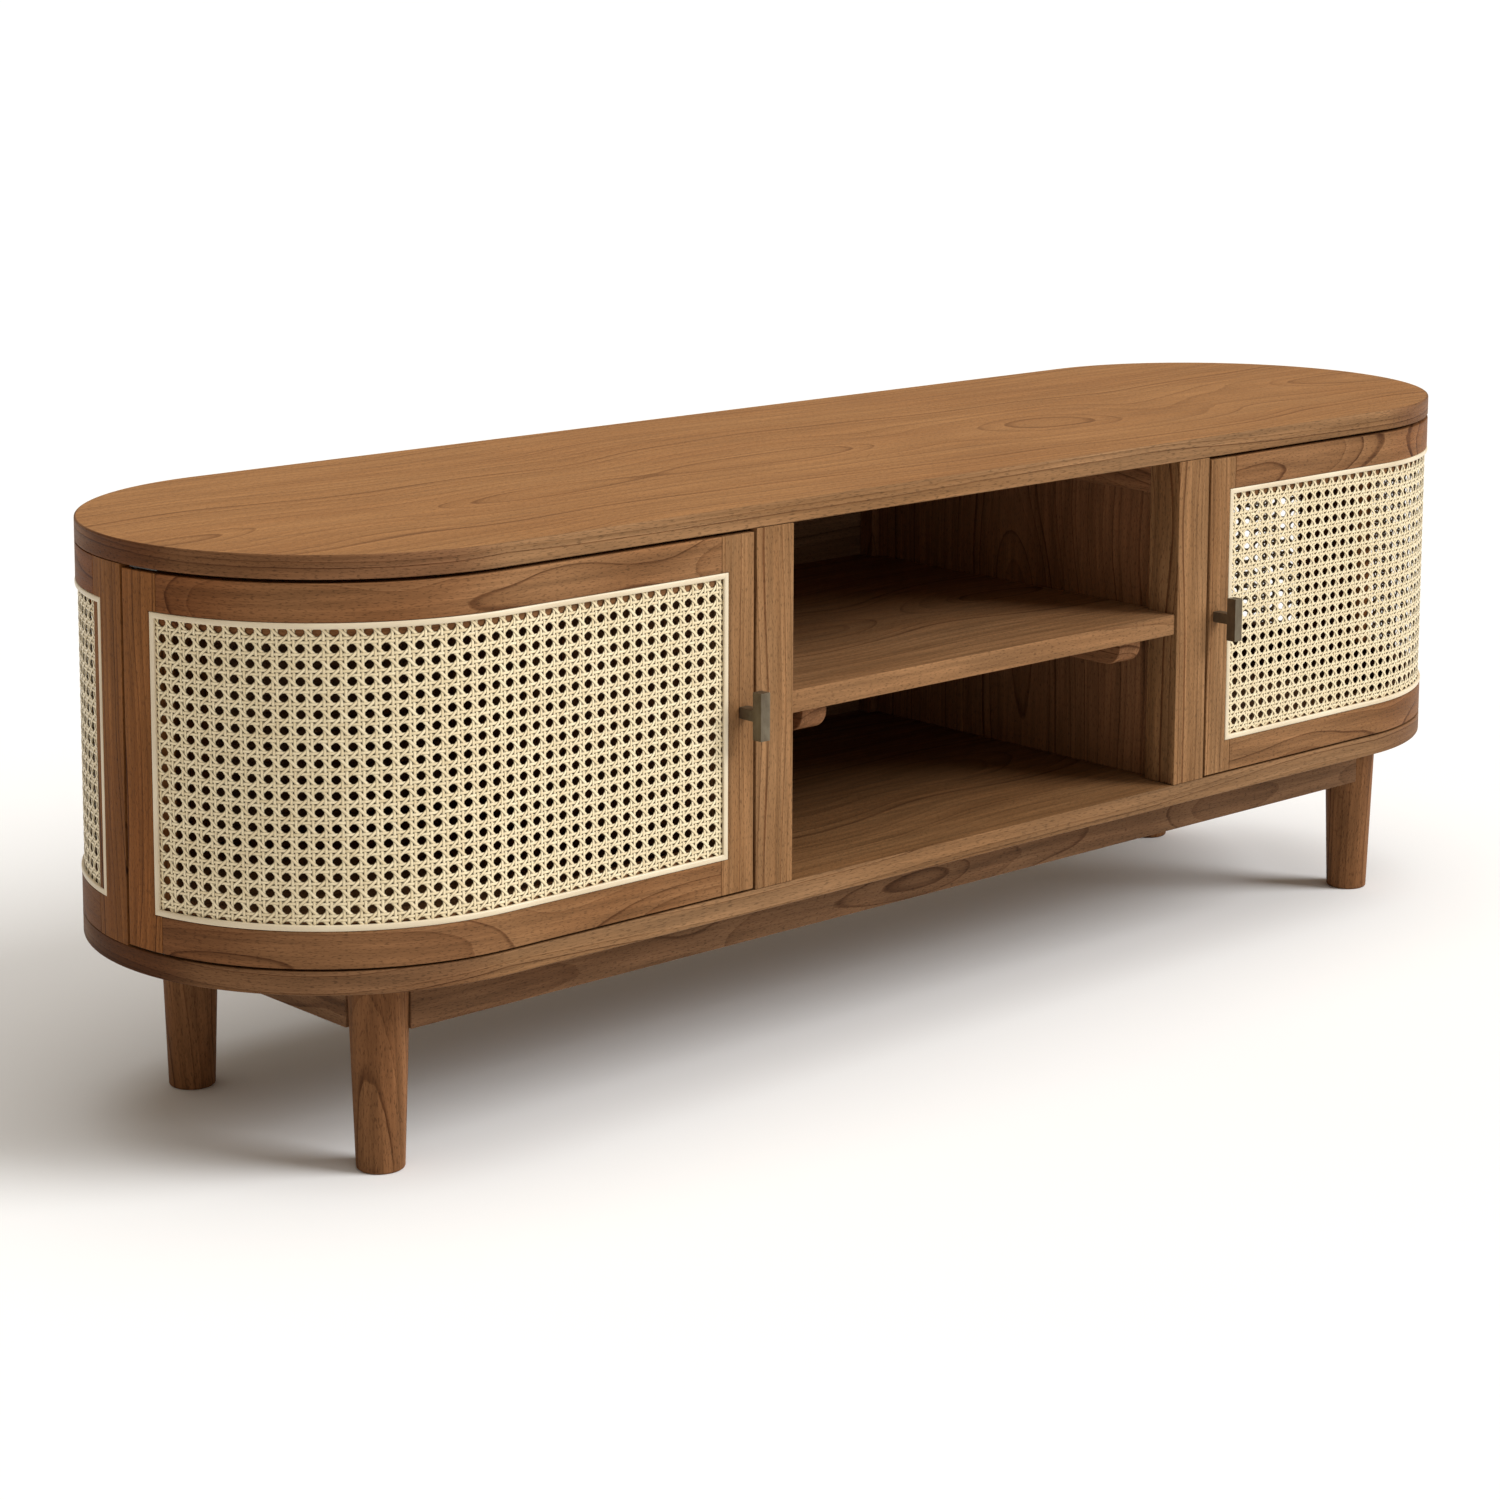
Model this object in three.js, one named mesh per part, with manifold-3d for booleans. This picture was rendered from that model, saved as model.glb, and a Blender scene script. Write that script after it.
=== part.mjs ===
// A low TV stand with half-round ends, two curved cane doors and an open shelf bay in the middle.
// Millimetres, +Z up. The origin is on the floor under the middle of the whole stand, handles
// included. +X runs to the right-hand end and the doors open towards -Y.
import * as THREE from 'three';
import { mergeVertices } from 'three/addons/utils/BufferGeometryUtils.js';
import Module from 'manifold-3d';

const wasm = await Module();
wasm.setup();

// Driving dimensions.
const LENGTH = 1600;
const DEPTH = 450;
const HEIGHT = 530;
const LEG_HEIGHT = 170;
const BOARD = 20;
const WALL = 20;
const GAP = 0.3;

// The body's outline: two half circles joined by straight front and back faces.
const END_RADIUS = DEPTH / 2;
const END_CENTRE = LENGTH / 2 - END_RADIUS;
const QUARTER = END_RADIUS * Math.PI / 2;
const ARC_STEPS = 18;
const FRONT = -END_RADIUS;
const BACK = END_RADIUS;

// Levels of the open space between the bottom board and the top board.
const FLOOR = LEG_HEIGHT + BOARD;
const ROOF = HEIGHT - BOARD;

// Centre bay.
const POST_INNER = 256;
const POST_OUTER = 300;
const FRONT_POST_DEPTH = 37;
const REAR_POST_DEPTH = 18;
const BACK_PANEL = 12;
const DIVIDER_INNER = 266;
const DIVIDER = 18;
const DIVIDER_RAIL_HEIGHT = 34;
const SHELF_TOP = 360;
const SHELF = 20;
const SHELF_SETBACK = 2.5;
const BATTEN_INNER = 196;
const BATTEN_OUTER = 226;
const BATTEN_HEIGHT = 26;
const BATTEN_FRONT = 20;
const BATTEN_NOSE = 18;
const BATTEN_LENGTH = 390;

// Curved end panels. Distances along the wall are measured on its outer face from the extreme end
// of the stand: positive towards the middle of the front, negative towards the back.
const HINGE_GAP_CENTRE = 5.9;
const HINGE_GAP = 3;
const END_STILE = 47;
const END_LEDGE = 13.7;
const END_RAIL_BOTTOM = 234;
const END_RAIL_TOP = 464;
const END_PANEL_BOTTOM = 224;
const END_PANEL_TOP = 477;

// Doors.
const DOOR_BOTTOM = 192;
const DOOR_TOP = 507;
const DOOR_FREE_EDGE = 303;
const HINGE_STILE = 41;
const HANDLE_STILE = 37;
const DOOR_LEDGE = 7.7;
const DOOR_RAIL_BOTTOM = 233;
const DOOR_RAIL_TOP = 462.5;
const DOOR_PANEL_BOTTOM = 223;
const DOOR_PANEL_TOP = 475.5;

// Cane panels lie in a shallow recess of the frames and a bead covers their edge.
const RECESS = 3.8;
const CANE_FRONT = 2.1;
const CANE_BACK = 3.2;
const BEAD_WIDTH = 5;
const BEAD_PROUD = 0.6;
const BEAD_BACK = 1.8;

// T-bar handles.
const HANDLE_X = 315;
const HANDLE_Z = 351;
const HANDLE_REACH = 28;
const BAR_WIDTH = 10.5;
const BAR_HEIGHT = 42;
const STEM_WIDTH = 10;

// Pivot hinges at the top and bottom of each door.
const PIVOT_FROM_EDGE = 12;
const PIVOT_DEPTH = 6.5;
const PIN_RADIUS = 2;
const PIN_LENGTH = 9;
const BUSH_RADIUS = 3.6;
const BUSH_BORE = 2.08;
const BUSH_LENGTH = 11;
const LEAF = 1.2;
const LEAF_LENGTH = 34;
const LEAF_WIDTH = 11;
const LEAF_SETBACK = 3.6;
const PIN_SEGMENTS = 24;

// Magnetic catches behind the free edges of the doors.
const CATCH_WIDTH = 34;
const CATCH_X = 321.5;
const CATCH_DEPTH = 14;
const CATCH_HEIGHT = 14;
const STRIKE = 1.2;
const STRIKE_HEIGHT = 13;

// Legs and the aprons between them.
const LEG_X = 645;
const LEG_Y = 140;
const LEG_TOP_RADIUS = 26.4;
const LEG_FOOT_RADIUS = 20.7;
const LEG_RIM = 2.5;
const RIM_STEPS = 2;
const LEG_SEGMENTS = 28;
const APRON_HEIGHT = 50;
const APRON = 20;
const APRON_FACE = 22;
const APRON_END = 16.5;

// Finishes.
const finish = (color, roughness, metalness = 0) =>
  new THREE.MeshStandardMaterial({ color, roughness, metalness });
const boardWood = finish(0xa97b52, 0.45);
const frameWood = finish(0x93704c, 0.5);
const innerWood = finish(0x6b4a2e, 0.6);
const legWood = finish(0x67452c, 0.5);
const rattan = finish(0xddcfa9, 0.6);
const paleBead = finish(0xe4dcc2, 0.5);
const agedBrass = finish(0x5a4e3a, 0.4, 0.9);
const steel = finish(0xb4b4b0, 0.35, 0.9);
const brownPlastic = finish(0x3a2a1e, 0.5);

// The handles stand forward of the body, so the body sits behind the origin by half their reach.
const stand = new THREE.Group();
const body = new THREE.Group();
body.position.y = HANDLE_REACH / 2;
stand.add(body);

function addPiece(name, geometry, material) {
  const piece = new THREE.Mesh(geometry, material);
  piece.name = name;
  body.add(piece);
}

// Joining and cutting closed shapes.
function toSolid(geometry) {
  const bare = geometry.clone();
  bare.deleteAttribute('normal');
  bare.deleteAttribute('uv');
  const merged = mergeVertices(bare, 1e-4);
  return new wasm.Manifold(new wasm.Mesh({
    numProp: 3,
    vertProperties: new Float32Array(merged.attributes.position.array),
    triVerts: new Uint32Array(merged.index.array),
  }));
}

function toGeometry(solid) {
  const mesh = solid.getMesh();
  const geometry = new THREE.BufferGeometry();
  geometry.setAttribute('position', new THREE.BufferAttribute(mesh.vertProperties, 3));
  geometry.setIndex(new THREE.BufferAttribute(mesh.triVerts, 1));
  geometry.computeVertexNormals();
  return geometry;
}

function cut(geometry, ...tools) {
  let solid = toSolid(geometry);
  for (const tool of tools) {
    solid = solid.subtract(toSolid(tool));
  }
  return toGeometry(solid);
}

const join = (first, second) => toGeometry(toSolid(first).add(toSolid(second)));

// Basic shapes.
function plate(points, bottom, top) {
  const geometry = new THREE.ExtrudeGeometry(new THREE.Shape(points), {
    depth: top - bottom,
    bevelEnabled: false,
  });
  return geometry.translate(0, 0, bottom);
}

function box(x, y, z) {
  const geometry = new THREE.BoxGeometry(Math.abs(x[1] - x[0]), y[1] - y[0], z[1] - z[0]);
  return geometry.translate((x[0] + x[1]) / 2, (y[0] + y[1]) / 2, (z[0] + z[1]) / 2);
}

// A round shape about a vertical axis, from its [radius, height] profile.
function turned(profile, segments) {
  const points = profile.map(([radius, height]) => new THREE.Vector2(radius, height));
  return new THREE.LatheGeometry(points, segments).rotateX(Math.PI / 2);
}

function cylinder(centre, radius, bottom, top) {
  const profile = [[0, bottom], [radius, bottom], [radius, top], [0, top]];
  return turned(profile, PIN_SEGMENTS).translate(centre.x, centre.y, 0);
}

// A point of the curved wall. side is -1 at the left-hand end and 1 at the right-hand end.
function wallPoint(side, along, depth) {
  const radius = END_RADIUS - depth;
  const angle = Math.min(along, QUARTER) / END_RADIUS;
  const straight = Math.max(along - QUARTER, 0);
  return new THREE.Vector2(
    side * (END_CENTRE + radius * Math.cos(angle) - straight),
    -radius * Math.sin(angle),
  );
}

// Where a stretch of wall bends: its two ends and every facet line between them.
function wallStations(from, to) {
  const stations = [from];
  for (let step = -ARC_STEPS; step <= ARC_STEPS; step += 1) {
    const along = QUARTER * step / ARC_STEPS;
    if (along > from + GAP && along < to - GAP) {
      stations.push(along);
    }
  }
  stations.push(to);
  return stations;
}

// A slab of wall between two distances along it, two depths behind its face and two heights.
function wallSlab(side, [from, to], [outer, inner], [bottom, top]) {
  const stations = wallStations(from, to);
  const face = stations.map((along) => wallPoint(side, along, outer));
  const rear = stations.map((along) => wallPoint(side, along, inner));
  return plate([...face, ...rear.reverse()], bottom, top);
}

function stadium() {
  const points = [];
  for (const side of [1, -1]) {
    for (let step = -ARC_STEPS; step <= ARC_STEPS; step += 1) {
      const angle = Math.PI / 2 * step / ARC_STEPS;
      points.push(new THREE.Vector2(
        side * (END_CENTRE + END_RADIUS * Math.cos(angle)),
        side * END_RADIUS * Math.sin(angle),
      ));
    }
  }
  return points;
}

const shrink = ([low, high], by) => [low + by, high - by];

// A cane panel and the bead round its edge, lying in a recess of the frame.
function addCanePanel(name, side, along, height) {
  const caneAlong = shrink(along, GAP);
  const caneHeight = shrink(height, GAP);
  const beadDepths = [-BEAD_PROUD, BEAD_BACK];
  const beadHole = [-BEAD_PROUD - 1, BEAD_BACK + 1];
  addPiece(`${name}_cane`, wallSlab(side, caneAlong, [CANE_FRONT, CANE_BACK], caneHeight), rattan);
  addPiece(`${name}_bead`, cut(
    wallSlab(side, caneAlong, beadDepths, caneHeight),
    wallSlab(side, shrink(caneAlong, BEAD_WIDTH), beadHole, shrink(caneHeight, BEAD_WIDTH)),
  ), paleBead);
}

// Top and bottom boards share one outline.
function addBoards() {
  addPiece('top_board', plate(stadium(), ROOF, HEIGHT), boardWood);
  addPiece('bottom_board', plate(stadium(), LEG_HEIGHT, FLOOR), boardWood);
}

const INSIDE_HEIGHT = [FLOOR + GAP, ROOF - GAP];
const BACK_PANEL_FACE = BACK - BACK_PANEL;
const FRONT_POST_BACK = FRONT + FRONT_POST_DEPTH;
const REAR_POST_FACE = BACK_PANEL_FACE - REAR_POST_DEPTH;
const SIDES = [[-1, 'left'], [1, 'right']];

// The posts, panels and rails on each side of the centre bay, and the back panel.
function addCentreFrame() {
  const betweenPosts = [FRONT_POST_BACK + GAP, REAR_POST_FACE - GAP];
  for (const [side, label] of SIDES) {
    const postWidth = [side * POST_INNER, side * POST_OUTER];
    const dividerWidth = [side * DIVIDER_INNER, side * (DIVIDER_INNER + DIVIDER)];
    const railWidth = [side * POST_INNER, side * (DIVIDER_INNER - GAP)];
    const railHeight = [ROOF - DIVIDER_RAIL_HEIGHT, ROOF - GAP];
    addPiece(`front_post_${label}`, box(postWidth, [FRONT, FRONT_POST_BACK], INSIDE_HEIGHT), frameWood);
    addPiece(`rear_post_${label}`, box(postWidth, [REAR_POST_FACE, BACK_PANEL_FACE], INSIDE_HEIGHT), innerWood);
    addPiece(`divider_panel_${label}`, box(dividerWidth, betweenPosts, INSIDE_HEIGHT), innerWood);
    addPiece(`divider_top_rail_${label}`, box(railWidth, betweenPosts, railHeight), innerWood);
  }
  const backWidth = [-END_CENTRE + GAP, END_CENTRE - GAP];
  addPiece('back_panel', box(backWidth, [BACK_PANEL_FACE + GAP, BACK], INSIDE_HEIGHT), innerWood);
}

// The shelf is notched round the posts and reaches the divider panels behind them.
function addShelf() {
  const narrow = POST_INNER - GAP;
  const wide = DIVIDER_INNER - GAP;
  const front = FRONT + SHELF_SETBACK;
  const notchFront = FRONT_POST_BACK + GAP;
  const notchBack = REAR_POST_FACE - GAP;
  const rightEdge = [
    [narrow, front], [narrow, notchFront], [wide, notchFront],
    [wide, notchBack], [narrow, notchBack], [narrow, BACK_PANEL_FACE],
  ];
  const leftEdge = rightEdge.map(([x, y]) => [-x, y]).reverse();
  const outline = [...rightEdge, ...leftEdge].map(([x, y]) => new THREE.Vector2(x, y));
  addPiece('shelf', plate(outline, SHELF_TOP - SHELF, SHELF_TOP), boardWood);
}

// Battens run front to back under the shelf. Their lower front corner is rounded off.
function addShelfBattens() {
  const top = SHELF_TOP - SHELF - GAP;
  const bottom = SHELF_TOP - SHELF - BATTEN_HEIGHT;
  const front = FRONT + BATTEN_FRONT;
  const back = front + BATTEN_LENGTH;
  const profile = new THREE.Shape();
  profile.moveTo(back, bottom);
  profile.lineTo(back, top);
  profile.lineTo(front, top);
  profile.lineTo(front, bottom + BATTEN_NOSE);
  profile.absarc(front + BATTEN_NOSE, bottom + BATTEN_NOSE, BATTEN_NOSE, Math.PI, Math.PI * 1.5, false);
  for (const [side, label] of SIDES) {
    const geometry = new THREE.ExtrudeGeometry(profile, {
      depth: BATTEN_OUTER - BATTEN_INNER,
      bevelEnabled: false,
      curveSegments: 4,
    });
    // The profile's x and y become the stand's Y and Z, and it is extruded along X.
    geometry.rotateX(Math.PI / 2).rotateZ(Math.PI / 2);
    geometry.translate(side < 0 ? -BATTEN_OUTER : BATTEN_INNER, 0, 0);
    addPiece(`shelf_batten_${label}`, geometry, innerWood);
  }
}

// Each end panel wraps the rear quarter of an end, from the hinge gap to the back panel.
function addEndPanel(side, label) {
  const name = `end_panel_${label}`;
  const front = HINGE_GAP_CENTRE - HINGE_GAP / 2;
  const frontStile = [front - END_STILE, front];
  const rearStile = [-QUARTER, -QUARTER + END_STILE];
  const rails = shrink([rearStile[1], frontStile[0]], GAP);
  const panelAlong = [rearStile[1] - END_LEDGE, frontStile[0] + END_LEDGE];
  const panelHeight = [END_PANEL_BOTTOM, END_PANEL_TOP];
  const recess = wallSlab(side, panelAlong, [-1, RECESS], panelHeight);
  const frame = (along, height) => cut(wallSlab(side, along, [0, WALL], height), recess);
  addPiece(`${name}_front_stile`, frame(frontStile, INSIDE_HEIGHT), frameWood);
  addPiece(`${name}_rear_stile`, frame(rearStile, INSIDE_HEIGHT), frameWood);
  addPiece(`${name}_top_rail`, frame(rails, [END_RAIL_TOP, ROOF - GAP]), frameWood);
  addPiece(`${name}_bottom_rail`, frame(rails, [FLOOR + GAP, END_RAIL_BOTTOM]), frameWood);
  addCanePanel(name, side, panelAlong, panelHeight);
}

const DOOR_HINGE_EDGE = HINGE_GAP_CENTRE + HINGE_GAP / 2;
const PIVOT_ALONG = DOOR_HINGE_EDGE + PIVOT_FROM_EDGE;
// Each hinge in turn: its name, the way its pin points, its board's face and its door's edge.
const HINGES = [
  ['lower', 1, FLOOR, DOOR_BOTTOM],
  ['upper', -1, ROOF, DOOR_TOP],
];

// Each door curves from the hinge gap round to the straight front and ends beside a post.
function addDoor(side, label) {
  const name = `door_${label}`;
  const freeEdge = QUARTER + END_CENTRE - DOOR_FREE_EDGE;
  const hingeStile = [DOOR_HINGE_EDGE, DOOR_HINGE_EDGE + HINGE_STILE];
  const handleStile = [freeEdge - HANDLE_STILE, freeEdge];
  const rails = shrink([hingeStile[1], handleStile[0]], GAP);
  const panelAlong = [hingeStile[1] - DOOR_LEDGE, handleStile[0] + DOOR_LEDGE];
  const panelHeight = [DOOR_PANEL_BOTTOM, DOOR_PANEL_TOP];
  const recess = wallSlab(side, panelAlong, [-1, RECESS], panelHeight);
  const slab = (along, height) => wallSlab(side, along, [0, WALL], height);
  const pivot = wallPoint(side, PIVOT_ALONG, PIVOT_DEPTH);
  const sockets = HINGES.map(([, up, , edge]) => {
    const ends = [edge - up, edge + up * (BUSH_LENGTH + GAP)].sort((a, b) => a - b);
    return cylinder(pivot, BUSH_RADIUS + GAP, ...ends);
  });
  const stileHeight = [DOOR_BOTTOM, DOOR_TOP];
  addPiece(`${name}_hinge_stile`, cut(slab(hingeStile, stileHeight), recess, ...sockets), frameWood);
  addPiece(`${name}_handle_stile`, cut(slab(handleStile, stileHeight), recess), frameWood);
  addPiece(`${name}_top_rail`, cut(slab(rails, [DOOR_RAIL_TOP, DOOR_TOP]), recess), frameWood);
  addPiece(`${name}_bottom_rail`, cut(slab(rails, [DOOR_BOTTOM, DOOR_RAIL_BOTTOM]), recess), frameWood);
  addCanePanel(name, side, panelAlong, panelHeight);
  addHandle(side, label);
}

// A square bar on a square stem, its back end against the face of the handle stile.
function addHandle(side, label) {
  const around = (centre, width) => [centre - width / 2, centre + width / 2];
  const reach = FRONT - HANDLE_REACH;
  const x = side * HANDLE_X;
  const bar = box(around(x, BAR_WIDTH), [reach, reach + BAR_WIDTH], around(HANDLE_Z, BAR_HEIGHT));
  const stem = box(
    around(x, STEM_WIDTH),
    [reach + BAR_WIDTH / 2, FRONT - GAP],
    around(HANDLE_Z, STEM_WIDTH),
  );
  addPiece(`handle_${label}`, join(bar, stem), agedBrass);
}

// A leaf screwed to the board carries a pin, which turns in a bush let into the door's edge.
function addPivotHinges(side, label) {
  const pivot = wallPoint(side, PIVOT_ALONG, PIVOT_DEPTH);
  const leafAlong = [PIVOT_ALONG - LEAF_WIDTH / 2, PIVOT_ALONG + LEAF_LENGTH - LEAF_WIDTH / 2];
  const leafDepth = [LEAF_SETBACK, PIVOT_DEPTH + LEAF_WIDTH / 2];
  const inOrder = (...ends) => ends.sort((a, b) => a - b);
  for (const [level, up, board, edge] of HINGES) {
    const leafHeight = inOrder(board + up * GAP, board + up * (GAP + LEAF));
    const pinHeight = inOrder(board + up * (GAP + LEAF / 2), edge + up * PIN_LENGTH);
    const [bushBottom, bushTop] = inOrder(edge, edge + up * BUSH_LENGTH);
    const leaf = wallSlab(side, leafAlong, leafDepth, leafHeight);
    const bush = turned([
      [BUSH_BORE, bushBottom], [BUSH_RADIUS, bushBottom],
      [BUSH_RADIUS, bushTop], [BUSH_BORE, bushTop], [BUSH_BORE, bushBottom],
    ], PIN_SEGMENTS).translate(pivot.x, pivot.y, 0);
    addPiece(`hinge_pin_${level}_${label}`, join(leaf, cylinder(pivot, PIN_RADIUS, ...pinHeight)), steel);
    addPiece(`hinge_bush_${level}_${label}`, bush, steel);
  }
}

// The catch hangs from the top board and the strike plate is on the back of the door.
function addCatch(side, label) {
  const width = [side * CATCH_X - CATCH_WIDTH / 2, side * CATCH_X + CATCH_WIDTH / 2];
  const strikeFace = FRONT + WALL + GAP;
  const catchFace = strikeFace + STRIKE + GAP;
  const catchHeight = [ROOF - CATCH_HEIGHT, ROOF - GAP];
  const strikeHeight = [DOOR_TOP - STRIKE_HEIGHT - 1, DOOR_TOP - 1];
  addPiece(`catch_${label}`, box(width, [catchFace, catchFace + CATCH_DEPTH], catchHeight), brownPlastic);
  addPiece(`strike_plate_${label}`, box(width, [strikeFace, strikeFace + STRIKE], strikeHeight), steel);
}

// Round legs, slightly tapered, with a rounded rim at the foot.
function addLegs() {
  const top = LEG_HEIGHT - GAP;
  const profile = [[0, 0]];
  for (let step = 0; step <= RIM_STEPS; step += 1) {
    const angle = Math.PI / 2 * step / RIM_STEPS;
    profile.push([
      LEG_FOOT_RADIUS - LEG_RIM + LEG_RIM * Math.sin(angle),
      LEG_RIM - LEG_RIM * Math.cos(angle),
    ]);
  }
  profile.push([LEG_TOP_RADIUS, top], [0, top]);
  for (const [side, label] of SIDES) {
    for (const [row, place] of [[-1, 'front'], [1, 'rear']]) {
      const geometry = turned(profile, LEG_SEGMENTS).translate(side * LEG_X, row * LEG_Y, 0);
      addPiece(`leg_${place}_${label}`, geometry, legWood);
    }
  }
}

// Aprons run under the bottom board, and their ends are hollowed out to fit round the legs.
function addAprons() {
  const height = [LEG_HEIGHT - APRON_HEIGHT, LEG_HEIGHT - GAP];
  const halfLength = LEG_X - APRON_END;
  const halfDepth = LEG_Y - APRON_END;
  const across = (centre, way) => {
    const faces = [centre + way * APRON_FACE, centre + way * (APRON_FACE - APRON)];
    return faces.sort((a, b) => a - b);
  };
  const hollow = (x, y) => turned([
    [0, 0], [LEG_FOOT_RADIUS + GAP, 0], [LEG_TOP_RADIUS + GAP, LEG_HEIGHT], [0, LEG_HEIGHT],
  ], LEG_SEGMENTS).translate(x, y, 0);
  for (const [row, place] of [[-1, 'front'], [1, 'rear']]) {
    const bar = box([-halfLength, halfLength], across(row * LEG_Y, row), height);
    const hollows = SIDES.map(([side]) => hollow(side * LEG_X, row * LEG_Y));
    addPiece(`apron_${place}`, cut(bar, ...hollows), legWood);
  }
  for (const [side, label] of SIDES) {
    const bar = box(across(side * LEG_X, side), [-halfDepth, halfDepth], height);
    const hollows = [-1, 1].map((row) => hollow(side * LEG_X, row * LEG_Y));
    addPiece(`apron_${label}`, cut(bar, ...hollows), legWood);
  }
}

addBoards();
addCentreFrame();
addShelf();
addShelfBattens();
for (const [side, label] of SIDES) {
  addEndPanel(side, label);
  addDoor(side, label);
  addPivotHinges(side, label);
  addCatch(side, label);
}
addLegs();
addAprons();

export default stand;
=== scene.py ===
"""Looks of a low TV stand with half-round ends, curved cane doors and an open shelf bay.

Metres, +Z up, doors at -Y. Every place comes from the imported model. Each wooden piece but the
back panel is rebuilt with fine curves and rounded edges. It carries its own grain coordinates:
along the wood, across it and through it, measured from the heart of the log it was cut from.
"""

import math
import random

import bmesh
import bpy
import numpy as np
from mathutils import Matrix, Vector


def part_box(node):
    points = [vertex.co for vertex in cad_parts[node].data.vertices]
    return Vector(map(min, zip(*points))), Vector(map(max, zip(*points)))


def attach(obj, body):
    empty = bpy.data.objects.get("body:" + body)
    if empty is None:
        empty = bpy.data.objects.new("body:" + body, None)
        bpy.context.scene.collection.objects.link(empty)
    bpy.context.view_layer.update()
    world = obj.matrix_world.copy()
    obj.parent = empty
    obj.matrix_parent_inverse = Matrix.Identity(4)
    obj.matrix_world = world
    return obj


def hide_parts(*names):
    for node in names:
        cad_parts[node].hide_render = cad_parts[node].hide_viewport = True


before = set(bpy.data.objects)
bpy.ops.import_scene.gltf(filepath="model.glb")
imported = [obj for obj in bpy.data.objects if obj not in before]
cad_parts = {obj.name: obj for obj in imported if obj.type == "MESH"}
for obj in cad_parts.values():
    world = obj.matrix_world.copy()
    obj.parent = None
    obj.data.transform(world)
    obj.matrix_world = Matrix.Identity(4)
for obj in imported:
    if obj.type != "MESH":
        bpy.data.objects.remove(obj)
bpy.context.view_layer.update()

MM = 0.001
X, Y, Z = 0, 1, 2
SIDES = ((-1, "left"), (1, "right"))
# The gap round anything that is let into a piece.
CLEARANCE = 0.3 * MM

# The outline of the stand: two half circles joined by straight front and back faces.
top_low, top_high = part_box("top_board")
END_RADIUS = (top_high.y - top_low.y) / 2
END_CENTRE = top_high.x - END_RADIUS
BODY_Y = (top_low.y + top_high.y) / 2
RIGHT_ANGLE = math.pi / 2
QUARTER = END_RADIUS * RIGHT_ANGLE
# Straight steps to a quarter circle, and the shortest step beside a kept place.
BOARD_STEPS = 60
WALL_STEPS = 59
SHORTEST_STEP = 1.2 * MM


# ---------------------------------------------------------------------------------------------
# Wall coordinates: the distance along the outer face from the extreme end, positive towards
# the front, and the depth behind that face.

def wall_point(side, along, depth, height):
    """The place of a point of the wall, or an (n, 3) array of places for numpy arrays."""
    radius = END_RADIUS - depth
    angle = np.clip(along / END_RADIUS, -RIGHT_ANGLE, RIGHT_ANGLE)
    straight = np.maximum(np.abs(along) - QUARTER, 0)
    x = side * (END_CENTRE + radius * np.cos(angle) - straight)
    return np.stack([x, BODY_Y - radius * np.sin(angle), height], axis=-1)


def distinct(values, tolerance=0.05 * MM):
    found = []
    for value in sorted(values):
        if not found or value - found[-1] > tolerance:
            found.append(float(value))
    return found


def between(low, high, values):
    return [value for value in values if low < value < high]


def vertices_of(node):
    return [vertex.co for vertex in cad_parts[node].data.vertices]


def wall_levels(node):
    """The distances along the wall, the depths and the heights at which a node has vertices."""
    alongs, depths, heights = [], [], []
    for co in vertices_of(node):
        x, y = abs(co.x) - END_CENTRE, co.y - BODY_Y
        if x > 0:
            alongs.append(math.atan2(-y, x) * END_RADIUS)
            depths.append(END_RADIUS - math.hypot(x, y))
        else:
            alongs.append(math.copysign(QUARTER - x, -y))
            depths.append(END_RADIUS - abs(y))
        heights.append(co.z)
    return distinct(alongs), distinct(depths), distinct(heights)


def arc_stations(low, high, others):
    """Fine steps on the round part of the wall between two distances, with the others kept."""
    kept = [value for value in (low, high, QUARTER, *others) if low <= value <= high]
    for step in range(-WALL_STEPS, WALL_STEPS + 1):
        along = step * QUARTER / WALL_STEPS
        if low < along < high and all(abs(along - value) > SHORTEST_STEP for value in kept):
            kept.append(along)
    return distinct(kept)


# ---------------------------------------------------------------------------------------------
# Meshes.

def grain_offset(name, reach):
    """Where a piece was cut from its log. reach is (across, through) from the heart."""
    draw = random.Random(name)
    return Vector((draw.uniform(2, 40), reach[0] + draw.uniform(-4, 4) * MM, reach[1]))


def closed_mesh(name, vertices, faces):
    """A mesh with all its faces turned outwards."""
    mesh = bpy.data.meshes.new(name)
    mesh.from_pydata(vertices, [], faces)
    work = bmesh.new()
    work.from_mesh(mesh)
    bmesh.ops.recalc_face_normals(work, faces=work.faces)
    work.to_mesh(mesh)
    work.free()
    return mesh


def finish_mesh(mesh, grains):
    """Stores the grain coordinates of each face corner, and shades the mesh smooth."""
    layer = mesh.attributes.new("grain", "FLOAT_VECTOR", "CORNER")
    layer.data.foreach_set("vector", np.asarray(grains, np.float32).ravel())
    mesh.shade_smooth()


def solid_mesh(name, vertices, faces, grains):
    """A closed mesh with the grain coordinates of each vertex."""
    mesh = closed_mesh(name, vertices, faces)
    corners = np.zeros(len(mesh.loops), np.int32)
    mesh.loops.foreach_get("vertex_index", corners)
    finish_mesh(mesh, np.array(grains)[corners])
    return mesh


def ring_faces(first, second, count):
    """Quads between two closed rings of vertices that start at these indices."""
    return [
        [first + i, first + (i + 1) % count, second + (i + 1) % count, second + i]
        for i in range(count)
    ]


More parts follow.
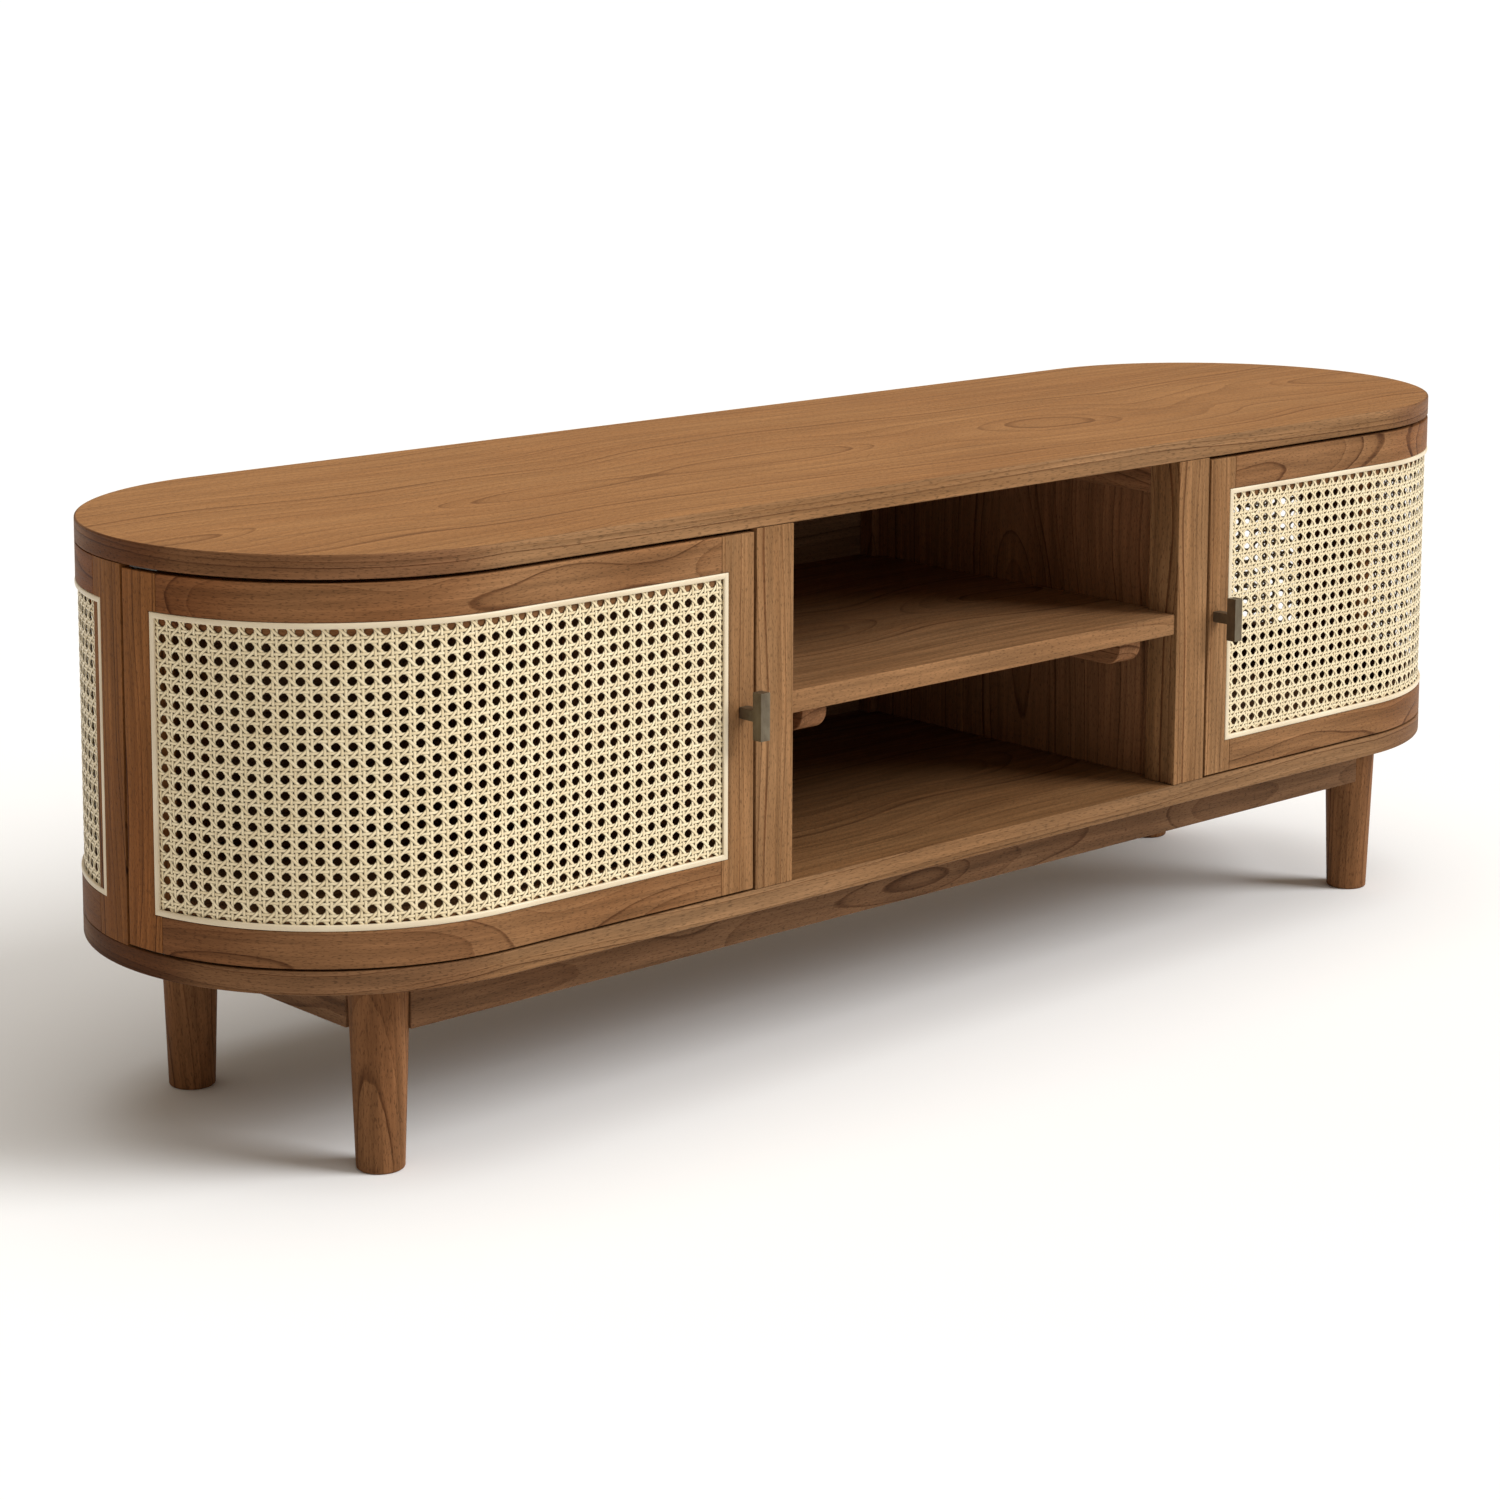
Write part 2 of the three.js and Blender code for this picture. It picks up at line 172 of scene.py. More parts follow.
def cell_mesh(name, stations, kept, place, grain):
    """A solid made of the kept cells of a grid, with faces only where it ends."""
    counts = [len(values) - 1 for values in stations]
    index, vertices, grains, faces = {}, [], [], []

    def corner(*key):
        if key not in index:
            values = [stations[axis][key[axis]] for axis in range(3)]
            index[key] = len(vertices)
            vertices.append(place(*values))
            grains.append(grain(*values))
        return index[key]

    def present(cell):
        if any(cell[axis] < 0 or cell[axis] >= counts[axis] for axis in range(3)):
            return False
        middles = [
            (stations[axis][cell[axis]] + stations[axis][cell[axis] + 1]) / 2 for axis in range(3)
        ]
        return kept(*middles)

    for cell in np.ndindex(*counts):
        if not present(cell):
            continue
        for axis in range(3):
            one, two = (axis + 1) % 3, (axis + 2) % 3
            for step in (0, 1):
                neighbour = list(cell)
                neighbour[axis] += 2 * step - 1
                if present(tuple(neighbour)):
                    continue
                face = []
                for a, b in ((0, 0), (1, 0), (1, 1), (0, 1)):
                    key = list(cell)
                    key[axis] += step
                    key[one] += a
                    key[two] += b
                    face.append(corner(*key))
                faces.append(face if step else face[::-1])
    return solid_mesh(name, vertices, faces, grains)


def prism_mesh(name, outline, low, high, place, grain):
    """An outline of (a, b) points, extruded from low to high."""
    count = len(outline)
    values = [(a, b, level) for level in (low, high) for a, b in outline]
    faces = [list(range(count)), list(range(count, 2 * count)), *ring_faces(0, count, count)]
    return solid_mesh(
        name, [place(*value) for value in values], faces, [grain(*value) for value in values]
    )


def same_place(*place):
    return place


def new_object(name, data):
    thing = bpy.data.objects.new(name, data)
    bpy.context.scene.collection.objects.link(thing)
    return thing


def keep_flat(piece):
    """Shades the large faces flat, and leaves the bend to the narrow faces of the edges."""
    weighted = piece.modifiers.new("flat_faces", "WEIGHTED_NORMAL")
    weighted.weight = 80


def add_piece(name, mesh, material, body, node, bevel=None, segments=3):
    """A piece that stands for a CAD node and rides on its body. bevel rounds its edges."""
    piece = new_object(name, mesh)
    piece.data.materials.append(material)
    if bevel:
        rounding = piece.modifiers.new("rounded_edges", "BEVEL")
        rounding.width = bevel
        rounding.segments = segments
        rounding.limit_method = "ANGLE"
        rounding.angle_limit = math.radians(40)
        keep_flat(piece)
    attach(piece, body)
    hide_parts(node)
    return piece


HOLE_SEGMENTS = 48


def cut_round(piece, centre, radii, span):
    """Cuts a round hole, straight or tapered, out of the finished piece."""
    work = bmesh.new()
    bmesh.ops.create_cone(
        work, cap_ends=True, segments=HOLE_SEGMENTS, radius1=radii[0], radius2=radii[1],
        depth=span[1] - span[0],
    )
    middle = (centre[0], centre[1], (span[0] + span[1]) / 2)
    bmesh.ops.translate(work, vec=middle, verts=work.verts)
    mesh = bpy.data.meshes.new("socket")
    work.to_mesh(mesh)
    work.free()
    cutter = new_object("socket", mesh)
    boolean = piece.modifiers.new("socket", "BOOLEAN")
    boolean.operation = "DIFFERENCE"
    boolean.solver = "EXACT"
    boolean.object = cutter
    graph = bpy.context.evaluated_depsgraph_get()
    cut = bpy.data.meshes.new_from_object(
        piece.evaluated_get(graph), preserve_all_data_layers=True, depsgraph=graph
    )
    piece.modifiers.clear()
    piece.data = cut
    bpy.data.objects.remove(cutter)


# ---------------------------------------------------------------------------------------------
# Materials.

class Shader:
    """A material with one Principled shader, and short ways to add nodes to it."""

    def __init__(self, name, metallic=0.0, specular=0.5):
        self.material = bpy.data.materials.new(name)
        self.material.use_nodes = True
        self.tree = self.material.node_tree
        self.tree.nodes.clear()
        self.principled = self.tree.nodes.new("ShaderNodeBsdfPrincipled")
        self.set("Metallic", metallic)
        self.set("Specular IOR Level", specular)
        output = self.tree.nodes.new("ShaderNodeOutputMaterial")
        self.tree.links.new(self.principled.outputs[0], output.inputs["Surface"])

    def fill(self, socket, value):
        if isinstance(value, bpy.types.NodeSocket):
            self.tree.links.new(value, socket)
        else:
            socket.default_value = value

    def set(self, name, value):
        self.fill(self.principled.inputs[name], value)

    def grain(self):
        node = self.tree.nodes.new("ShaderNodeAttribute")
        node.attribute_name = "grain"
        return node.outputs["Vector"]

    def place(self):
        return self.tree.nodes.new("ShaderNodeTexCoord").outputs["Object"]

    def split(self, vector):
        node = self.tree.nodes.new("ShaderNodeSeparateXYZ")
        self.fill(node.inputs[0], vector)
        return node.outputs[0], node.outputs[1], node.outputs[2]

    def calc(self, operation, *values):
        node = self.tree.nodes.new("ShaderNodeMath")
        node.operation = operation
        for socket, value in zip(node.inputs, values):
            self.fill(socket, value)
        return node.outputs[0]

    def stretch(self, vector, scale, shift):
        node = self.tree.nodes.new("ShaderNodeVectorMath")
        node.operation = "MULTIPLY_ADD"
        for socket, value in zip(node.inputs, (vector, scale, shift)):
            self.fill(socket, value)
        return node.outputs[0]

    def noise(self, vector, scale, detail=2.0, rough=0.5, shift=(0, 0, 0)):
        """Noise with that many blobs per metre on each axis. shift keeps two noises apart."""
        node = self.tree.nodes.new("ShaderNodeTexNoise")
        self.fill(node.inputs["Vector"], self.stretch(vector, scale, shift))
        node.inputs["Scale"].default_value = 1
        node.inputs["Detail"].default_value = detail
        node.inputs["Roughness"].default_value = rough
        return node.outputs[0]

    def line_noise(self, value, detail):
        node = self.tree.nodes.new("ShaderNodeTexNoise")
        node.noise_dimensions = "1D"
        self.fill(node.inputs["W"], value)
        node.inputs["Scale"].default_value = 1
        node.inputs["Detail"].default_value = detail
        return node.outputs[0]

    def remap(self, value, low, high, to_low=0.0, to_high=1.0, smooth=False):
        """Takes the range from low to high to that from to_low to to_high, and clamps."""
        node = self.tree.nodes.new("ShaderNodeMapRange")
        if smooth:
            node.interpolation_type = "SMOOTHSTEP"
        for socket, item in zip(node.inputs, (value, low, high, to_low, to_high)):
            self.fill(socket, item)
        return node.outputs[0]

    def mix(self, amount, first, second, blend="MIX"):
        node = self.tree.nodes.new("ShaderNodeMix")
        node.data_type = "RGBA"
        node.blend_type = blend
        self.fill(node.inputs[0], amount)
        for socket, value in ((node.inputs[6], first), (node.inputs[7], second)):
            self.fill(socket, (*value, 1.0) if isinstance(value, tuple) else value)
        return node.outputs[2]

    def shade(self, colour, value):
        """Multiplies a colour by a grey value."""
        node = self.tree.nodes.new("ShaderNodeVectorMath")
        node.operation = "SCALE"
        self.fill(node.inputs[0], colour)
        self.fill(node.inputs["Scale"], value)
        return node.outputs[0]

    def bump(self, height, distance):
        node = self.tree.nodes.new("ShaderNodeBump")
        node.inputs["Strength"].default_value = 1.0
        node.inputs["Distance"].default_value = distance
        self.fill(node.inputs["Height"], height)
        self.set("Normal", node.outputs[0])


def paint_end_shade(s, colour, ends, tips, start, stop):
    """Painted shade: multiplies a colour by ends over the round ends, and by tips at their extreme
    tips.

    The tips' colour comes in from start to stop, measured from the middle of the half circle.
    """
    from_middle = s.calc("ABSOLUTE", s.split(s.place())[X])
    steps = ((END_CENTRE - 0.02, END_CENTRE + 0.06, ends),
             (END_CENTRE + start, END_CENTRE + stop, tips))
    for low, high, factor in steps:
        amount = s.remap(from_middle, low, high, smooth=True)
        colour = s.mix(amount, colour, factor, "MULTIPLY")
    return colour


RIPPLE_HEIGHT = 1.6 * MM


def wood(name, light, warm, dark, ring, wander, contrast=0.8, figure=1.0, painted_end_shade=None, place=None):
    """Lacquered wood. Growth rings are cylinders round a heart that wanders along the wood.

    light, warm and dark are the colours of pale wood, of reddish patches and of the lines where
    a ring ends. ring is the spacing of the rings, and wander is how far the heart strays.
    contrast is the strength of the lines, and figure is that of the fibres and streaks. The
    argument after figure holds the painted shade of the round ends, as the function above takes it
    after the colour. place makes the grain coordinates of a piece that doesn't carry its own.
    """
    s = Shader(name, specular=0.03)
    grain = place(s) if place else s.grain()
    _, across, through = s.split(grain)

    # The distance from the heart. The heart strays further through the wood than across it,
    # and each ring ripples a little.
    drift = s.noise(grain, (2.3, 4.0, 4.0), 1.0)
    sway = s.noise(grain, (3.1, 3.5, 3.5), 1.0, shift=(7.3, 1.9, 4.1))
    ripple = s.noise(grain, (22.0, 90.0, 90.0), 3.0, shift=(3.1, 0, 0))
    v = s.calc("MULTIPLY_ADD", s.calc("SUBTRACT", drift, 0.5), wander, across)
    w = s.calc("MULTIPLY_ADD", s.calc("SUBTRACT", sway, 0.5), wander * 1.8, through)
    square = s.calc("MULTIPLY_ADD", v, v, s.calc("MULTIPLY", w, w))
    ripple = s.calc("SUBTRACT", ripple, 0.5)
    radius = s.calc("MULTIPLY_ADD", ripple, RIPPLE_HEIGHT, s.calc("SQRT", square))

    # The same in rings. A noise with about that many blobs to a ring makes them uneven, by up
    # to that many rings.
    rings = s.calc("DIVIDE", radius, ring)
    uneven = s.line_noise(s.calc("MULTIPLY", rings, 0.61), 2.0)
    rings = s.calc("MULTIPLY_ADD", uneven, 2.4, rings)
    within = s.calc("FRACT", rings)

    # A line near the end of each ring, by the part of the ring that is past. Some rings have a
    # weak one, and all are weaker here and there.
    line = s.calc("MULTIPLY", s.remap(within, 0.76, 0.93, smooth=True),
                  s.remap(within, 0.96, 1.0, 1.0, 0.0))
    pick = s.line_noise(s.calc("MULTIPLY", s.calc("FLOOR", rings), 3.7), 0.0)
    line = s.calc("MULTIPLY", line, s.remap(pick, 0.36, 0.58, 0.22, 1.0))
    broken = s.noise(grain, (9.0, 60.0, 60.0), shift=(0, 3.3, 0))
    line = s.calc("MULTIPLY", line, s.remap(broken, 0.30, 0.58, 0.45, 1.0))

    # Fibres, streaks and pores.
    fibre = s.noise(grain, (12.0, 380.0, 380.0), 3.0, 0.6)
    streak = s.noise(grain, (7.0, 130.0, 130.0), shift=(1.7, 0, 0))
    speck = s.noise(grain, (210.0, 1000.0, 1000.0), 1.0, shift=(0, 5.5, 0))
    pore = s.remap(speck, 0.56, 0.66)

    blotch = s.noise(grain, (4.0, 15.0, 15.0), shift=(0, 0, 9.7))
    patch = s.calc("MULTIPLY_ADD", within, 0.35, s.remap(blotch, 0.35, 0.68, 0.0, 0.65))
    colour = s.mix(patch, light, warm)
    colour = s.mix(s.calc("MULTIPLY", line, contrast), colour, dark)
    # Painted shade: darker towards the tips of the round ends.
    if painted_end_shade:
        colour = paint_end_shade(s, colour, *painted_end_shade)
    tone = s.remap(fibre, 0.25, 0.75, 1 - 0.22 * figure, 1 + 0.18 * figure)
    late = s.calc("MULTIPLY", within, within)
    for shade in (
        s.remap(streak, 0.3, 0.7, 1 - 0.20 * figure, 1 + 0.16 * figure),
        s.remap(late, 0.0, 1.0, 1.03, 0.90),
        s.remap(pore, 0.0, 1.0, 1.03, 0.66),
    ):
        tone = s.calc("MULTIPLY", tone, shade)
    s.set("Base Color", s.shade(colour, tone))
    s.set("Roughness", s.remap(fibre, 0.2, 0.8, 0.40, 0.54))
    height = s.calc("MULTIPLY_ADD", pore, -1.0, s.calc("MULTIPLY", fibre, 0.6))
    height = s.calc("MULTIPLY_ADD", line, 0.35, height)
    s.bump(height, 0.1 * MM)
    return s.material


def back_panel_grain(s):
    """Grain coordinates of the back panel, a carried-over CAD piece whose wood runs lengthwise.

    The heart lies at the middle of its height, a little in front of its face.
    """
    low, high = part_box("back_panel")
    x, y, z = s.split(s.place())
    node = s.tree.nodes.new("ShaderNodeCombineXYZ")
    for socket, value in zip(node.inputs, (x, z, y)):
        s.fill(socket, value)
    return s.stretch(node.outputs[0], (1, 1, 1), (3.7, -(low.z + high.z) / 2, 35 * MM - low.y))


def cane_material():
    s = Shader("cane_strands")
    grain = s.grain()
    _, across, _ = s.split(grain)
    slow = s.noise(grain, (22.0, 0.0, 1.0))
    fibre = s.noise(grain, (60.0, 2600.0, 1.0))
    fleck = s.noise(grain, (260.0, 420.0, 1.0), 1.0)
    colour = s.mix(s.remap(slow, 0.3, 0.7), (0.83, 0.71, 0.475), (0.69, 0.56, 0.34))
    colour = s.mix(s.remap(fleck, 0.66, 0.8, 0.0, 0.35), colour, (0.42, 0.28, 0.13))
    # Painted shade: each strand is darker towards its edges, where it dips between the strands,
    # with a faint painted highlight along its middle.
    edge = s.remap(s.calc("ABSOLUTE", across), 0.6 * MM, 1.45 * MM, 1.04, 0.52)
    tone = s.calc("MULTIPLY", edge, s.remap(fibre, 0.25, 0.75, 0.93, 1.05))
    s.set("Base Color", s.shade(colour, tone))
    s.set("Roughness", s.remap(fibre, 0.2, 0.8, 0.30, 0.42))
    s.bump(fibre, 0.08 * MM)
    return s.material


def bead_material():
    s = Shader("bead_rattan")
    grain = s.grain()
    slow = s.noise(grain, (9.0, 20.0, 20.0))
    fibre = s.noise(grain, (24.0, 1500.0, 1500.0))
    fleck = s.noise(grain, (130.0, 500.0, 500.0), 1.0)
    colour = s.mix(s.remap(slow, 0.3, 0.7), (0.73, 0.63, 0.46), (0.60, 0.49, 0.33))
    colour = s.mix(s.remap(fleck, 0.68, 0.8, 0.0, 0.3), colour, (0.5, 0.36, 0.2))
    s.set("Base Color", s.shade(colour, s.remap(fibre, 0.25, 0.75, 0.95, 1.03)))
    s.set("Roughness", s.remap(fibre, 0.2, 0.8, 0.33, 0.46))
    s.bump(fibre, 0.06 * MM)
    return s.material


def brass_material():
    s = Shader("aged_brass_brushed", metallic=0.85)
    grain = s.grain()
    brushed = s.noise(grain, (30.0, 2600.0, 2600.0), 3.0, 0.6)
    patina = s.noise(grain, (60.0, 90.0, 90.0), 3.0)
    colour = s.mix(s.remap(patina, 0.35, 0.7), (0.180, 0.149, 0.102), (0.120, 0.094, 0.062))
    s.set("Base Color", s.shade(colour, s.remap(brushed, 0.25, 0.75, 0.86, 1.12)))
    s.set("Roughness", s.remap(patina, 0.3, 0.7, 0.38, 0.52))
    s.bump(brushed, 0.04 * MM)
    return s.material


def steel_material():
    s = Shader("blackened_steel", metallic=0.9)
    spot = s.noise(s.place(), (300.0, 300.0, 300.0), 3.0)
    turned = s.noise(s.place(), (60.0, 60.0, 2500.0))
    colour = s.mix(s.remap(spot, 0.35, 0.65), (0.105, 0.10, 0.095), (0.07, 0.067, 0.064))
    s.set("Base Color", colour)
    s.set("Roughness", s.remap(turned, 0.3, 0.7, 0.36, 0.5))
    s.bump(turned, 0.03 * MM)
    return s.material


def plastic_material():
    s = Shader("moulded_brown")
    speck = s.noise(s.place(), (1800.0, 1800.0, 1800.0))
    colour = s.mix(s.remap(speck, 0.3, 0.7), (0.05, 0.028, 0.016), (0.038, 0.02, 0.012))
    s.set("Base Color", colour)
    s.set("Roughness", s.remap(speck, 0.3, 0.7, 0.44, 0.58))
    s.bump(speck, 0.04 * MM)
    return s.material


def floor_material():
    s = Shader("pale_floor", specular=0.0)
    cloud = s.noise(s.place(), (1.5, 1.5, 1.5), 3.0)
    s.set("Base Color", s.mix(cloud, (0.90, 0.90, 0.90), (0.88, 0.88, 0.88)))
    s.set("Roughness", 0.9)
    return s.material


TOP = wood(
    "top_veneer", (0.350, 0.171, 0.066), (0.305, 0.140, 0.052), (0.13, 0.048, 0.017),
    ring=0.015, wander=0.10, contrast=0.55, figure=0.5,
)
BAY = wood(
    "bay_veneer", (0.212, 0.108, 0.046), (0.173, 0.081, 0.032), (0.08, 0.031, 0.013),
    ring=0.012, wander=0.10, contrast=0.7,
)
SHELF = wood(
    "shelf_veneer", (0.270, 0.145, 0.067), (0.220, 0.108, 0.046), (0.10, 0.040, 0.016),
    ring=0.012, wander=0.10, contrast=0.7,
)
# The lippings carry painted shade at the tips of the round ends, in their last argument.
LIPPING = wood(
    "lipping", (0.275, 0.152, 0.073), (0.220, 0.110, 0.046), (0.09, 0.034, 0.013),
    ring=0.009, wander=0.04,
    painted_end_shade=((0.74, 0.66, 0.67), (0.60, 0.50, 0.45), 0.2100, 0.2245),
)
LOW_LIPPING = wood(
    "low_lipping", (0.235, 0.130, 0.063), (0.188, 0.094, 0.040), (0.08, 0.030, 0.011),
    ring=0.009, wander=0.04,
    painted_end_shade=((0.76, 0.70, 0.70), (0.52, 0.42, 0.38), 0.2050, 0.2245),
)
POST = wood(
    "post_timber", (0.283, 0.153, 0.070), (0.225, 0.109, 0.044), (0.10, 0.036, 0.013),
    ring=0.0085, wander=0.03,
)
# Painted shade: a darker, redder copy of the frame wood for the hinge stiles, its colour standing
# in for the shade on the round ends.
STILE = wood(
    "stile_timber", (0.250, 0.104, 0.034), (0.195, 0.072, 0.022), (0.055, 0.017, 0.006),
    ring=0.009, wander=0.05, contrast=0.95,
)
# Painted shade: a darker copy still, for the stiles of the end panels.
END_STILE = wood(
    "end_stile_timber", (0.225, 0.095, 0.031), (0.178, 0.067, 0.020), (0.05, 0.017, 0.006),
    ring=0.009, wander=0.05, contrast=0.95,
)
# The rails carry painted shade at the tips of the round ends, in their last argument.
RAIL = wood(
    "rail_timber", (0.245, 0.125, 0.056), (0.184, 0.080, 0.031), (0.055, 0.018, 0.007),
    ring=0.0085, wander=0.080, contrast=0.95,
    painted_end_shade=((1.0, 0.95, 0.93), (0.80, 0.66, 0.57), 0.16, 0.22),
)
LOW_RAIL = wood(
    "low_rail_timber", (0.245, 0.127, 0.057), (0.186, 0.083, 0.033), (0.055, 0.018, 0.007),
    ring=0.0090, wander=0.05, contrast=0.95,
    painted_end_shade=((0.90, 0.86, 0.87), (0.76, 0.66, 0.60), 0.16, 0.22),
)
INNER = wood(
    "inner_veneer", (0.290, 0.143, 0.067), (0.224, 0.100, 0.045), (0.09, 0.034, 0.014),
    ring=0.0095, wander=0.08,
)
LEG = wood(
    "leg_timber", (0.220, 0.103, 0.044), (0.170, 0.072, 0.029), (0.06, 0.021, 0.008),
    ring=0.0075, wander=0.018,
)
APRON = wood(
    "apron_timber", (0.186, 0.100, 0.051), (0.143, 0.069, 0.033), (0.05, 0.019, 0.008),
    ring=0.0085, wander=0.05,
)
BACKING = wood(
    "back_veneer", (0.260, 0.150, 0.084), (0.205, 0.108, 0.057), (0.09, 0.034, 0.015),
    ring=0.011, wander=0.05, place=back_panel_grain,
)
CANE = cane_material()
BEAD = bead_material()
BRASS = brass_material()
STEEL = steel_material()
PLASTIC = plastic_material()


# ---------------------------------------------------------------------------------------------
# Boards: a flat face of veneer with a bent lipping round it.

def outline_loop(inset):
    """The stand's outline moved inwards, from the left tip along the front and back again.

    Each point is (x, y, place), where place is that of the lipping's grain: the distance from
    the nearer tip of the stand, with opposite signs at its two ends and its two faces.
    """
    radius = END_RADIUS - inset
    front = []
    for side, _ in SIDES:
        for step in range(BOARD_STEPS + 1):
            angle = RIGHT_ANGLE * step / BOARD_STEPS
            if side > 0:
                angle = RIGHT_ANGLE - angle
            x = side * (END_CENTRE + radius * math.cos(angle))
            front.append((x, radius * math.sin(angle), side * angle * END_RADIUS))
    back = [(x, BODY_Y + out, -place) for x, out, place in reversed(front) if out > 1e-9]
    return [(x, BODY_Y - out, place) for x, out, place in front] + back


EDGE_STEPS = 4


def add_board(name, node, veneer, lipping, rounding):
    """A board of veneer with a lipping. Its edges are rounded to the given radius."""
    low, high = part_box(node)
    offset = grain_offset(name, (0.03, -0.05))
    edge_offset = grain_offset(name + "_lipping", (0.09, -0.03))
    # The rounded edge, as insets and distances from the flat face.
    profile = []
    for step in range(EDGE_STEPS + 1):
        angle = RIGHT_ANGLE * step / EDGE_STEPS
        profile.append((rounding * (1 - math.cos(angle)), rounding * (1 - math.sin(angle))))
    levels = [(inset, low.z + rise) for inset, rise in reversed(profile)]
    levels += [(inset, high.z - drop) for inset, drop in profile]
    vertices, edge_grains, faces = [], [], []
    for inset, height in levels:
        for x, y, place in outline_loop(inset):
            vertices.append((x, y, height))
            edge_grains.append(edge_offset + Vector((place, height - low.z, inset)))
    count = len(vertices) // len(levels)
    last = len(vertices) - count
    for start in range(0, last, count):
        faces += ring_faces(start, start + count, count)
    # Each flat face is a row of strips from the front to the back.
    edge_count = len(faces)
    for start in (0, last):
        ring = range(start, start + count)
        for i in range(count // 2):
            faces.append(list(dict.fromkeys((ring[i], ring[i + 1], ring[-i - 1], ring[-i]))))
    mesh = closed_mesh(name, vertices, faces)
    grains = []
    for polygon in mesh.polygons:
        on_edge = polygon.index < edge_count
        polygon.material_index = 1 if on_edge else 0
        for vertex in polygon.vertices:
            x, y, z = vertices[vertex]
            grains.append(edge_grains[vertex] if on_edge else offset + Vector((x, y, z - low.z)))
    finish_mesh(mesh, grains)
    piece = add_piece(name, mesh, veneer, "cabinet", node)
    piece.data.materials.append(lipping)
    keep_flat(piece)


add_board("top_board_wood", "top_board", TOP, LIPPING, 1.6 * MM)
add_board("bottom_board_wood", "bottom_board", BAY, LOW_LIPPING, 1.2 * MM)


# ---------------------------------------------------------------------------------------------
# Curved frames with their cane panels.

# The wood of each member of a frame, and where it was cut: across and through from the heart.
# Stiles come from the side of a log and rails from near its heart.
STILE_REACH = (0.085, -0.03)
MEMBERS = {
    # The stiles at the round ends get the copies with painted shade.
    "front_stile": (END_STILE, STILE_REACH),
    "rear_stile": (END_STILE, STILE_REACH),
    "hinge_stile": (STILE, STILE_REACH),
    "handle_stile": (POST, STILE_REACH),
    "top_rail": (RAIL, (0.004, -0.038)),
    "bottom_rail": (LOW_RAIL, (0.030, -0.030)),
}


def add_member(node, side, body, recess, material, reach):
    """A stile or rail of the curved wall, with the shallow recess for the cane cut out of it."""
    alongs, depths, heights = wall_levels(node)
    left, right, bottom, top = recess
    recess_depth = depths[1]
    stations = (
        arc_stations(alongs[0], alongs[-1], between(alongs[0], alongs[-1], (left, right))),
        distinct([depths[0], recess_depth, depths[-1]]),
        distinct([heights[0], *between(heights[0], heights[-1], (bottom, top)), heights[-1]]),
    )
    offset = grain_offset(node, reach)
    middle_along = (alongs[0] + alongs[-1]) / 2
    middle_height = (heights[0] + heights[-1]) / 2
    upright = node.endswith("stile")

    def kept(along, depth, height):
        return not (depth < recess_depth and left < along < right and bottom < height < top)

    def grain(along, depth, height):
        if upright:
            return offset + Vector((height, along - middle_along, -depth))
        return offset + Vector((along, height - middle_height, -depth))

    def place(along, depth, height):
        return wall_point(side, along, depth, height)

    name = node + "_wood"
    mesh = cell_mesh(name, stations, kept, place, grain)
    return add_piece(name, mesh, material, body, node, 0.7 * MM)


# Open six-way cane: pairs of upright and level strands, with diagonals between the pairs.
# Pitches and first holes are given along the wall and then in height.
PITCH = (13.86 * MM, 13.36 * MM)
FIRST_HOLE_IN = 12 * MM
FIRST_HOLE_DOWN = 7.7 * MM
STRAND_WIDTH = 2.75 * MM
STRAND_HEIGHT = 0.55 * MM
PAIR_SPACING = 3.5 * MM
WEAVE = 0.28 * MM
DIAGONAL_WEAVE = 0.56 * MM
# How far the cane ends inside its CAD node, under the bead.
CANE_INSET = 1.6 * MM
SHORTEST_DIAGONAL = 3 * MM
DIAGONAL_STEPS = 6
# Where a straight strand bends: parts of a pitch from the middle of the pair that it crosses.
BENDS = (-0.5, -0.32, -0.15, 0.0, 0.15, 0.32)
# The strand's section: places across it, as parts of its width, and its rise there.
SECTION = np.array(((-0.5, -0.1), (-0.27, 0.42), (0.27, 0.42), (0.5, -0.1), (0.0, -0.5)))


def smooth_wave(distance, pitch):
    """From -1 at the first strand of a pair to 1 at the second, and 0 halfway to the next pair."""
    distance = (distance + pitch / 2) % pitch - pitch / 2
    size = np.abs(distance)
    half = PAIR_SPACING / 2
    outside = 0.5 * (1 + np.cos(math.pi * (size - half) / (pitch / 2 - half)))
    inside = np.sin(math.pi * distance / PAIR_SPACING)
    return np.where(size <= half, inside, np.sign(distance) * outside)


def strand_mesh(name, paths, side, depth):
    """Ribbons along paths of (along, height, rise) rows, all bent onto the wall at that depth."""
    vertices, grains, faces, base = [], [], [], 0
    ring = len(SECTION)
    for number, path in enumerate(paths):
        count = len(path)
        tangent = np.gradient(path[:, :2], axis=0)
        tangent /= np.linalg.norm(tangent, axis=1)[:, None]
        across = np.stack([-tangent[:, 1], tangent[:, 0]], axis=1)
        spread = SECTION[None, :, 0] * STRAND_WIDTH
        along = path[:, None, 0] + across[:, None, 0] * spread
        height = path[:, None, 1] + across[:, None, 1] * spread
        rise = path[:, None, 2] + SECTION[None, :, 1] * STRAND_HEIGHT
        vertices.append(wall_point(side, along, depth - rise, height).reshape(-1, 3))
        steps = np.linalg.norm(np.diff(path[:, :2], axis=0), axis=1)
        lengths = np.concatenate([[0], np.cumsum(steps)])
        # Each strand takes its own place in the noise of the cane.
        grain = np.zeros((count * ring, 3))
        grain[:, X] = np.repeat(lengths, ring) + 1.7 * number
        grain[:, Y] = np.tile(spread[0], count)
        grain[:, Z] = number * 13.37
        grains.append(grain)
        end = base + (count - 1) * ring
        for start in range(base, end, ring):
            faces += ring_faces(start, start + ring, ring)
        faces += [list(range(base, base + ring)), list(range(end, end + ring))]
        base += count * ring
    return solid_mesh(name, np.concatenate(vertices), faces, np.concatenate(grains))


